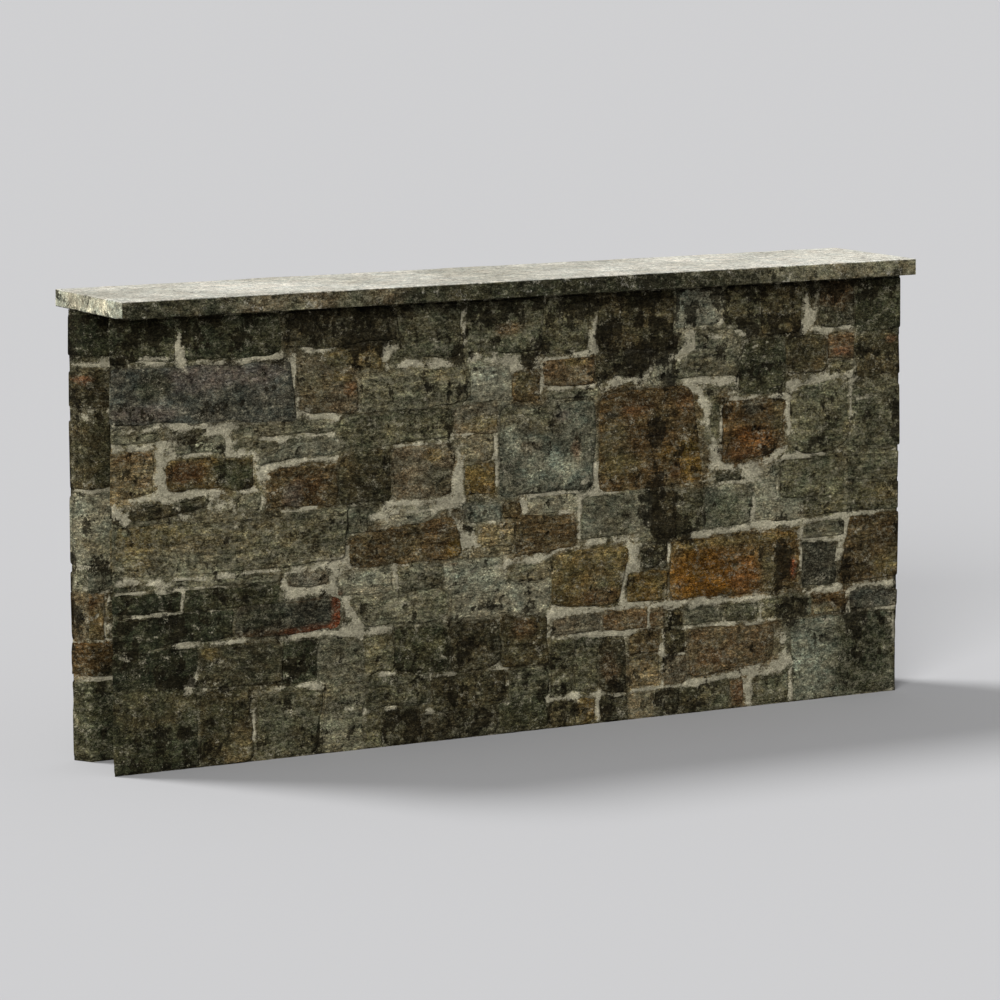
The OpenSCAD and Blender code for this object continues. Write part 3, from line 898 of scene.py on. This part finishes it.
def weathered_material(name, streak, grime, lime, grain):
    """A rough dielectric. Streak gives the number of streaks in a metre along x, y and z. The vertices carry
    grime with painted shade, lime, flecks and the strength of the mottling as their weather, and grime is
    the colour that grime and painted shade darken to."""
    material = bpy.data.materials.new(name)
    n = Nodes(material)
    n.shader.inputs["Roughness"].default_value = 0.9
    n.shader.inputs["Specular IOR Level"].default_value = 0.05
    tint, bedding = n.attribute("tint")
    weather, strength = n.attribute("weather")
    grime_and_shade_field, lime_field, fleck_field = n.channels(weather)

    def spread(pattern, base):
        """The base to the power of the pattern centred on 0, so that light and dark are even in ratio."""
        return n.sums("POWER", base, n.sums("MULTIPLY", n.sums("SUBTRACT", pattern, 0.5), strength))

    mottle = n.grains(9, 7, 1.0, (1, 1, 1.5))
    crust = n.grains(16, 6, 0.95, (1, 1, 1.3), 3.1)
    flecks = n.grains(38, 5, 0.95, (1, 1, 1.4), 5.2)
    damp = n.grains(13, 6, 0.74, (1, 1, 0.9), 7.7)
    runs = n.grains(1.0, 6, 0.7, (15, 15, 2.4))
    bands = n.grains(1.0, 6, 0.75, streak)
    hue = n.grains(12, 5, 0.78, (1, 1, 1.4), 11.3)
    grit = n.grains(85, 2, 1.0, (1, 1, 1.7), 17.0)

    # The stone itself: mottling, bedding, grit, cracks along the bedding, pits, and a drift of hue
    banding = n.sums("MULTIPLY", n.sums("MULTIPLY", n.around(bands, 5.5), bedding), strength)
    value = n.sums("MULTIPLY", spread(mottle, 1600.0), n.sums("ADD", banding, 1.0))
    value = n.sums("MULTIPLY", value, spread(grit, 230.0))
    crack = n.ramp(n.sums("ABSOLUTE", n.around(bands, 1.0)), 0.0, 0.03, -0.5, 0.0)
    value = n.sums("MULTIPLY", value, n.sums("MULTIPLY_ADD", crack, bedding, 1.0))
    pits = n.ramp(flecks, 0.38, 0.465, 0.3, 1.05)
    value = n.sums("MAXIMUM", n.sums("MULTIPLY", value, pits), DARKEST)
    warmth = n.ramp(hue, 0.38, 0.62, 0.0, 1.0, "LINEAR")
    drift = n.mix(strength, WHITE, n.mix(warmth, COOL, WARM))
    colour = n.times(n.product(tint, drift), value)

    # Lime, then lichen, both powdery
    pale = n.ramp(n.sums("ADD", lime_field, n.around(crust, 5.0)), 0.3, 0.8, 0.0, 0.95)
    powder = n.sums("MULTIPLY", spread(mottle, 60.0), spread(grit, 8.0))
    colour = n.mix(pale, colour, n.times(tuple(linear(lime)), powder))
    density = n.sums("MULTIPLY_ADD", fleck_field, 0.13, flecks)
    fleck = n.ramp(density, 0.585, 0.665, 0.0, LICHEN_SHARE)
    colour = n.mix(fleck, colour, n.times(LICHEN, powder))

    # Grime and painted shade, which lime sheds a little
    fray = n.sums("ADD", n.around(damp, 5.0), n.around(runs, 2.0))
    grime_and_shade_less_lime = n.sums("ADD", grime_and_shade_field, n.sums("MULTIPLY", pale, -0.25))
    dark = n.ramp(n.sums("ADD", grime_and_shade_less_lime, fray), 0.57, 0.69, 0.0, 0.84)
    n.feed(n.shader.inputs["Base Color"], n.mix(dark, colour, n.times(tuple(linear(grime)), value)))

    height = n.sums("ADD", n.grains(52, 5, 0.75), n.sums("MULTIPLY", mottle, 2.0))
    height = n.sums("ADD", height, n.sums("MULTIPLY", bands, n.sums("MULTIPLY", bedding, 0.9)))
    bump = n.tree.nodes.new("ShaderNodeBump")
    bump.inputs["Strength"].default_value = 0.8
    bump.inputs["Distance"].default_value = grain
    n.feed(bump.inputs["Height"], height)
    n.feed(n.shader.inputs["Normal"], bump.outputs[0])
    return material


stone_material = weathered_material("rubble_stone", (8, 8, 72), (29, 25, 15), (178, 171, 147), 0.007)
mortar_material = weathered_material("lime_mortar", (9, 9, 14), (30, 26, 16), (184, 177, 152), 0.006)
coping_material = weathered_material("coping_stone", (3, 30, 12), (46, 44, 32), (176, 171, 155), 0.003)
print("materials:", stone_material.name, mortar_material.name, coping_material.name)

# %% [markdown]
# ## Meshes
# A piece is made from whole arrays: points in metres, quads and triangles, and two colours at each vertex.
# Tint holds the stone's colour with the strength of its bedding. Weather holds grime with painted shade,
# lime, flecks and mottling. Each course of stones becomes a piece of its own, as it is a node of its own in
# the frame.

# %% Turn arrays into pieces of the frame
LEAVES = {"front": (FRONT, STONES, 11, 211), "back": (BACK, back_stones, 57, 257)}
made = {}


def make_piece(name, points, quads, tris, tint, weather, material, nodes):
    """A smooth-shaded mesh at the origin that rides the wall and stands for those nodes of the frame."""
    mesh = bpy.data.meshes.new(name)
    mesh.from_pydata(points.tolist(), [], quads.tolist() + tris.tolist())
    mesh.polygons.foreach_set("use_smooth", np.ones(len(mesh.polygons), bool))
    for key, values in (("tint", tint), ("weather", weather)):
        layer = mesh.attributes.new(key, "FLOAT_COLOR", "POINT")
        layer.data.foreach_set("color", values.astype(np.float32).ravel())
    mesh.materials.append(material)
    mesh.update()
    piece = bpy.data.objects.new(name, mesh)
    bpy.context.scene.collection.objects.link(piece)
    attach(piece, "root")
    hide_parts(*nodes)
    made[name] = 2 * len(quads) + len(tris)
    return piece


def make_courses(side, plane, stones, seed):
    """The stones of one leaf, as one piece for each course of the frame, by the height of their middles."""
    uvw, tint, weather, (quads, tris, quad_owner, tri_owner), owner = lay(stones, seed)
    points = set_on(plane, uvw)
    middles = np.array([sum(pair(s[2]) + pair(s[3])) / 4 for s in stones])
    course = np.minimum(np.searchsorted(course_tops, middles), COURSES - 1)
    for i in range(COURSES):
        kept = course[owner] == i
        renumber = np.cumsum(kept) - 1
        q = renumber[quads[course[quad_owner] == i]]
        t = renumber[tris[course[tri_owner] == i]]
        name = f"{side}_course_{i + 1}"
        make_piece(f"{name}_stones", points[kept], q, t, tint[kept], weather[kept], stone_material,
                   [name])


for side, (plane, stones, seed, _) in LEAVES.items():
    make_courses(side, plane, stones, seed)
print("stones:", sum(made.values()), "triangles")

# %% [markdown]
# ## Mortar
# The mortar is what the stones sit in. It stands a little behind their faces, bulges where the joints
# were pointed, keeps well back behind each stone and is raked back at the open ends. It is one closed body
# for each leaf, with a relief on both of its faces, so no joint can be seen through. Old mortar takes its
# dirt from the stones beside it, so its colour is blended from theirs.

# %% What lies round each point of the mortar
def stones_round(u, v, stones):
    """The colours of the stones round each point, weighed by the inverse fourth power of their distance,
    and the cover over it: 0 in a joint and 1 a few millimetres behind a stone's edge."""
    total, weights, cover = np.zeros((len(u), 3)), np.zeros((len(u), 1)), np.zeros(len(u))
    for stone in stones:
        (l0, l1), (r0, r1), (f0, f1), (h0, h1) = (pair(side) for side in stone[:4])
        a = np.clip((2 * u - l0 - l1) / (r0 + r1 - l0 - l1), 0, 1)
        b = np.clip((2 * v - f0 - f1) / (h0 + h1 - f0 - f1), 0, 1)
        left, right = l0 + (l1 - l0) * b, r0 + (r1 - r0) * b
        foot, head = f0 + (f1 - f0) * a, h0 + (h1 - h0) * a
        half_u, half_v = (right - left) / 2, (head - foot) / 2
        off_u, off_v = np.abs(u - left - half_u), np.abs(v - foot - half_v)
        power = stone[5] if len(stone) > 5 else 12
        reach = ((off_u / half_u) ** power + (off_v / half_v) ** power) ** (1 / power)
        cover = np.maximum(cover, smooth((1 - reach) * np.minimum(half_u, half_v), 0.5, 4))
        away = np.clip(off_u - half_u, 0, None) ** 2 + np.clip(off_v - half_v, 0, None) ** 2
        weight = 1 / (64 + away)[:, None] ** 2
        kind = KIND_NAMES.index(stone[4])
        total += weight * (kind_main[kind] + kind_patch[kind]) / 2
        weights += weight
    return total / weights, cover


trial = np.random.default_rng(1).uniform((0, 0), (LENGTH, MASONRY), (2000, 2))
_, cover = stones_round(*trial.T, STONES)
print(f"stones cover {100 * cover.mean():.0f} % of the mortar")

# %% Mortar of each leaf
MORTAR_STEP = 11.0
MORTAR_SET = 3.5
COVERED_SET = 9.0
FAR_SET = 6.5
TOP_GAP = 0.5
END_RAKE = 3.0
EDGE_RINGS = [0.35, 0.65]
MORTAR_DULL = linear((74, 69, 53))
MORTAR_WARM = linear((98, 91, 72))
DIRT_SHARE = 0.65
MORTAR_GROW = 2.0
LEAST_LIME = 0.12
INNER_GRIME = 0.3
MORTAR_FLECKS = 0.55
MORTAR_MOTTLING = 0.95
MORTAR_BEDDING = 0.3


def mortar_body(length, height, depth, seed, bond, end_rake, stones, weathered=True):
    """A slab with relief: in the joints its front lies about 3.5 mm back, less along fresh lime, and 9 mm
    more behind the stones. The far face has a relief of its own. Returns points across, up and out,
    colours, weather, quads and triangles."""
    across = np.linspace(end_rake, length - end_rake, round(length / MORTAR_STEP) + 1)
    up = np.linspace(0.0, height, round(height / MORTAR_STEP) + 1)
    u, v = (x.ravel() for x in np.meshgrid(across, up))
    rows, cols = len(up), len(across)
    rim = rim_of(rows, cols)

    # The joints bend, so what lies at a point is looked up where it was before
    flat = np.stack([u, v, 0 * u], 1)
    bend_u, bend_v, _, _ = bend_at(u, v, bond, length, height)
    lime = lime_at(u - bend_u, v - bend_v, MORTAR_GROW) if weathered else np.zeros(len(u))
    dirt, cover = stones_round(u - bend_u, v - bend_v, stones)
    relief = 3.0 * noise(flat, 30, seed, 3) + 1.5 * noise(flat, 120, seed + 5, 2)
    front = -MORTAR_SET + 1.0 * lime + relief - COVERED_SET * cover
    far = -depth + FAR_SET + 2.5 * noise(flat, 40, seed + 9, 3)

    # Front grid, rings round the edge and far grid, which is shorter by the splay of the ends
    w = np.concatenate([front] + [front[rim] * (1 - r) + far[rim] * r for r in EDGE_RINGS] + [far])
    squeeze = 2 * (SPLAY if weathered else 0.0) / length
    behind = [(u[rim], r) for r in EDGE_RINGS] + [(u, 1.0)]
    u = np.concatenate([u] + [length / 2 + (x - length / 2) * (1 - squeeze * r) for x, r in behind])
    v = np.concatenate([v] + [v[rim] for _ in EDGE_RINGS] + [v])
    dirt = np.concatenate([dirt] + [dirt[rim] for _ in EDGE_RINGS] + [dirt])
    on_face = np.arange(len(u)) < rows * cols
    place = np.stack([u, v, w], 1)

    blend = smooth(noise(place, 110, seed + 13, 3), -0.3, 0.4)[:, None]
    clean = MORTAR_DULL * (1 - blend) + MORTAR_WARM * blend
    colour = DIRT_SHARE * dirt + (1 - DIRT_SHARE) * clean
    weather = np.zeros((len(u), 4))
    weather[:, 3] = MORTAR_MOTTLING
    if weathered:
        inner_lime = lime_at(u[~on_face], v[~on_face], MORTAR_GROW, INNER_LIME)
        weather[:, 0] = np.where(on_face, grime_at(u, v), INNER_GRIME)
        weather[:, 1] = LEAST_LIME + (1 - LEAST_LIME) * np.concatenate([lime, inner_lime])
        weather[:, 2] = MORTAR_FLECKS
    tint = np.column_stack([colour, np.full(len(u), MORTAR_BEDDING)])
    return place, tint, weather, *block_faces(rows, cols, len(EDGE_RINGS), True)


for side, (plane, stones, bond, seed) in LEAVES.items():
    uvw, tint, weather, quads, tris = mortar_body(
        LENGTH, MASONRY - TOP_GAP, LEAF, seed, bond, END_RAKE, stones)
    beds = [f"{side}_bed_{i + 1}" for i in range(COURSES)]
    make_piece(f"{side}_mortar", set_on(plane, uvw), quads, tris, tint, weather, mortar_material,
               beds)
print("mortar:", made["front_mortar"], "triangles in each leaf")

# %% [markdown]
# ## The core
# Between the leaves the wall is packed with broken stone and earth. Only its two ends can be seen, deep in
# the open ends of the bay, so each end is a small rubble face of its own, laid at random, and the earth
# behind it runs to the middle of the wall.

# %% Rubble of the core
CORE_JOINT = 10.0
CORE_KINDS = ["umber", "olive", "moss", "brown", "grey"]


def random_rubble(length, height, seed):
    """Rows of one to three stones that fill a face, with joints of about 10 mm."""
    rng = np.random.default_rng(seed)
    stones, foot = [], 3.0
    while foot < height - 60:
        head = min(foot + rng.uniform(60, 150), height - 12)
        cuts = np.sort(rng.uniform(0.3, 0.7, 1)) if rng.random() < 0.75 else np.array([0.36, 0.68])
        edges = np.concatenate([[0.0], cuts, [1.0]]) * length
        for left, right in zip(edges, edges[1:]):
            kind = str(rng.choice(CORE_KINDS))
            top = head - rng.uniform(0, 12)
            stones.append((left + CORE_JOINT / 2, right - CORE_JOINT / 2, foot, top, kind))
        foot = head + CORE_JOINT
    return stones


RUBBLE_SET = 6.0
EARTH_SET = 8.0
EARTH_OVERLAP = 9.0
EARTH_RAKE = 1.0
RUBBLE_GRIME = 0.4
EARTH_GRIME = 0.5
core_wide = (core_high.y - core_low.y) / MM
core_deep = (core_high.x - core_low.x) / MM / 2
groups = []
for plane, seed in ((CORE_LEFT, 311), (CORE_RIGHT, 331)):
    rubble = random_rubble(core_wide, MASONRY, seed)
    uvw, tint, weather, (quads, tris, _, _), _ = lay(
        rubble, seed, core_wide, MASONRY, weathered=False, open_ends=False)
    uvw[:, 2] -= RUBBLE_SET
    weather[:, 0] = RUBBLE_GRIME
    groups.append((set_on(plane, uvw), tint, weather, quads, tris))
    uvw, tint, weather, quads, tris = mortar_body(
        core_wide, MASONRY - TOP_GAP, core_deep + EARTH_OVERLAP, seed + 3, seed, EARTH_RAKE, rubble,
        weathered=False)
    uvw[:, 2] = np.minimum(uvw[:, 2] - EARTH_SET, -RUBBLE_SET)
    weather[:, 0] = EARTH_GRIME
    groups.append((set_on(plane, uvw), tint, weather, quads, tris))
starts = np.cumsum([0] + [len(g[0]) for g in groups])
points, tint, weather = (np.concatenate([g[i] for g in groups]) for i in range(3))
quads, tris = (np.concatenate([g[i] + n for g, n in zip(groups, starts)]) for i in (3, 4))
make_piece("core_fill", points, quads, tris, tint, weather, stone_material, ["rubble_core"])
print("core:", made["core_fill"], "triangles")

# %% [markdown]
# ## The coping
# The coping is one sawn slab. Its end is the grid and its length is made of rings, close together at both
# ends so that the arrises round off. A drip throat runs along under each overhang. The arrises are worn
# and chipped, which is done by moving each point inwards by an amount that depends on its distance from
# the slab's six faces.

# %% Grid of the coping
half_deep = (slab_high.y - slab_low.y) / MM / 2
thick = (slab_high.z - slab_low.z) / MM
slab_long = (slab_high.x - slab_low.x) / MM
THROAT_RADIUS = 7.0
THROAT_CENTRE = half_deep - 30.0
THROAT_STOP = 60.0
near_edge = np.array([0.0, 1.5, 4.0, 9.0])
throat = THROAT_RADIUS * np.array([-1.05, -0.9, -0.6, -0.2, 0.2, 0.6, 0.9, 1.05])
inner_part = np.arange(6.0, 204.0, 11.0)
positive = np.concatenate([inner_part, THROAT_CENTRE + throat, half_deep - near_edge[::-1]])
across = np.concatenate([-positive[::-1], positive])
up = np.concatenate([near_edge, [16.0, 23.0, 30.0, 38.0, 46.0], thick - near_edge[2::-1]])
body = np.linspace(20.0, slab_long - 20.0, 250)
near_end = np.array([0.0, 1.5, 4.0, 10.0])
along = np.concatenate([near_end, body, slab_long - near_end[::-1]])

rows, cols = len(up), len(across)
rings = len(along) - 2
rim = rim_of(rows, cols)
y, z = (x.ravel() for x in np.meshgrid(across, up))
end = np.full(rows * cols, slab_long)
x = np.concatenate([0 * end, np.repeat(along[1:-1], len(rim)), end])
y = np.concatenate([y, np.tile(y[rim], rings), y])
z = np.concatenate([z, np.tile(z[rim], rings), z])
place = np.stack([x, y, z], 1)
print("coping grid:", rows, "by", cols, "points at each end and", rings, "rings")

# %% Wear of the coping
ON_FACE = 0.1
WORN = 9.0
to_end = np.minimum(x, slab_long - x)
to_side = half_deep - np.abs(y)
to_bed = np.minimum(z, thick - z)
distances = np.stack([to_end, to_side, to_bed])
rough = 1.3 * noise(place, 60, 401, 3) + 0.8 * noise(place, 260, 405, 2)
arris = np.clip(1 - np.sort(distances, 0)[1] / WORN, 0, 1)
chip = arris * (1.2 + 7.0 * np.clip(noise(place, 46, 409, 3) - 0.22, 0, 1))
shift = np.where(distances < ON_FACE, rough, 0) - chip * (distances < WORN)
outward = np.stack([np.sign(x - slab_long / 2), np.sign(y), np.sign(z - thick / 2)])
groove = np.sqrt(np.clip(THROAT_RADIUS**2 - (np.abs(y) - THROAT_CENTRE) ** 2, 0, None))
groove = np.where(z < ON_FACE, groove, 0) * smooth(to_end, THROAT_STOP - 6, THROAT_STOP + 6)
x, y, z = place.T + outward * shift
z = np.clip(z, 0.3, None) + groove
print(f"arrises worn by up to {chip.max():.1f} mm, throats {groove.max():.1f} mm deep")

# %% [markdown]
# ## Colours of the coping
# Rain bleaches the top. The long edges are dark, partly with the grime that washes off it and partly
# with painted shade, paler towards both ends of the bay, and brown in places on the left. The ends are
# pale and streaked, and the underside is darkened with painted shade. These are weights at the vertices
# that blend a few colours.

# %% Colours of the coping
# How pale the long edges are, from 0 to 1, at places along the slab
EDGE_TONES = [
    (0, 0.3), (250, 0.35), (520, 0.7), (900, 0.45), (1200, 0.1), (1500, 0.0), (1900, 0.12),
    (2300, 0.45), (2600, 0.8), (3000, 0.55),
]
pale_top = linear((214, 211, 203))
warm_top = linear((180, 177, 167))
end_colour = linear((188, 185, 168))
# The dark colours of the long edges are grime with painted shade
edge_grime_and_shade = linear((45, 45, 34))
edge_pale = linear((104, 98, 80))
edge_brown = linear((86, 74, 58))


def blended(a, b, share):
    """Colour a with a share of colour b at each vertex."""
    return a * (1 - share[:, None]) + b * share[:, None]


from_left = place[:, 0] / slab_long
from_middle = np.abs(2 * from_left - 1)
top = smooth(place[:, 2], thick - 3, thick)
bottom = smooth(3 - place[:, 2], 0, 3)
ends = (to_end < 2) * (1 - top) * (1 - bottom)
long_edge = (1 - top) * (1 - ends)
streaks = noise(place * np.array([0.05, 1.0, 0.2]), 26, 421, 3)
cloud = noise(place, 240, 425, 4)
bleach = 0.3 * streaks + 0.9 * cloud + 0.5 * (from_middle - 0.4) + 0.4 * (from_left - 0.5)
colour = blended(warm_top, pale_top, smooth(bleach, -0.5, 0.5))
colour = np.where(ends[:, None] > 0.5, end_colour * (1 + 0.3 * streaks[:, None]), colour)

tone = np.interp(place[:, 0], *zip(*EDGE_TONES))
wash = 0.7 * noise(place, 110, 431, 4) + 1.8 * (tone - 0.5)
edge_colour = blended(edge_grime_and_shade, edge_pale, smooth(wash, -0.6, 0.6))
brown = 0.8 * smooth(noise(place, 120, 437, 3), 0.0, 0.4) * smooth(1300 - place[:, 0], 0, 500)
colour = blended(colour, blended(edge_colour, edge_brown, brown), long_edge)

tint = np.column_stack([colour, np.where(top > 0.5, 0.3, 0.7)])
# Grime and painted shade: painted shade on the underside, grime with painted shade along the long edges,
# less on the top
weather = np.column_stack([
    0.55 * bottom + (0.45 - 0.4 * tone) * long_edge + 0.1 * ends - 0.4 * top,
    0.26 * arris * (1 - ends) * smooth(noise(place, 200, 441, 3), -0.3, 0.4),
    (0.35 + 0.4 * tone) * long_edge + 0.3 * ends,
    0.36 * top + 0.95 * long_edge + 0.7 * ends])
points = np.stack([slab_low.x + MM * x, -MM * y, slab_low.z + MM * z], 1)
quads, tris = block_faces(rows, cols, rings, True)
make_piece("coping", points, quads, tris, tint, weather, coping_material, ["coping_slab"])
print("coping:", made["coping"], "triangles, all pieces:", sum(made.values()))

# %% [markdown]
# ## Floor and light
# The wall stands on a plain pale floor. A soft key comes from the upper left and a little behind, so the
# coping's top and left end are bright. A weaker soft light from the front left rakes the face, and even
# light from all round keeps the back readable. The floor is pale to the camera and darker to the light
# that it bounces, so the face isn't lit from below.

# %% Stage
REACH = 400.0
FLOOR_LIT = (0.22, 0.22, 0.22, 1.0)
FLOOR_SEEN = (0.55, 0.55, 0.56, 1.0)
corners = [(-REACH, -REACH, 0), (REACH, -REACH, 0), (REACH, REACH, 0), (-REACH, REACH, 0)]
floor_mesh = bpy.data.meshes.new("floor")
floor_mesh.from_pydata(corners, [], [(0, 1, 2, 3)])
floor_material = bpy.data.materials.new("floor")
n = Nodes(floor_material)
rays = n.tree.nodes.new("ShaderNodeLightPath").outputs
seen = n.sums("MAXIMUM", rays["Is Camera Ray"], rays["Is Glossy Ray"])
seen = n.sums("MAXIMUM", seen, rays["Is Transmission Ray"])
n.feed(n.shader.inputs["Base Color"], n.mix(seen, FLOOR_LIT, FLOOR_SEEN))
n.shader.inputs["Roughness"].default_value = 1.0
n.shader.inputs["Specular IOR Level"].default_value = 0.0
floor_mesh.materials.append(floor_material)
floor = bpy.data.objects.new("floor", floor_mesh)
bpy.context.scene.collection.objects.link(floor)
print("floor", 2 * REACH, "m across")


# %% Lights
def add_sun(name, towards, level, spread):
    """A sun whose light comes from that direction. At level 1 a surface that faces it renders as written."""
    data = bpy.data.lights.new(name, "SUN")
    data.energy = math.pi * level
    data.angle = math.radians(spread)
    lamp = bpy.data.objects.new(name, data)
    x, y, z = towards
    lamp.rotation_euler = (math.atan2(math.hypot(x, y), z), 0.0, math.atan2(x, -y))
    bpy.context.scene.collection.objects.link(lamp)


add_sun("key", (-0.42, 0.475, 0.773), 0.70, 18)
add_sun("raking", (-0.66, -0.66, 0.36), 0.72, 28)
world = bpy.data.worlds.new("studio")
world.use_nodes = True
world.node_tree.nodes["Background"].inputs["Color"].default_value = WHITE
world.node_tree.nodes["Background"].inputs["Strength"].default_value = 0.34
bpy.context.scene.world = world
print(len(bpy.data.lights), "suns and an even sky")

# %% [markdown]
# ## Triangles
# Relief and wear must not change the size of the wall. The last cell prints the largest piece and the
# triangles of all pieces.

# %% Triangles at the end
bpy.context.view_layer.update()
print("largest piece:", max(made, key=made.get), max(made.values()), "triangles of", sum(made.values()))
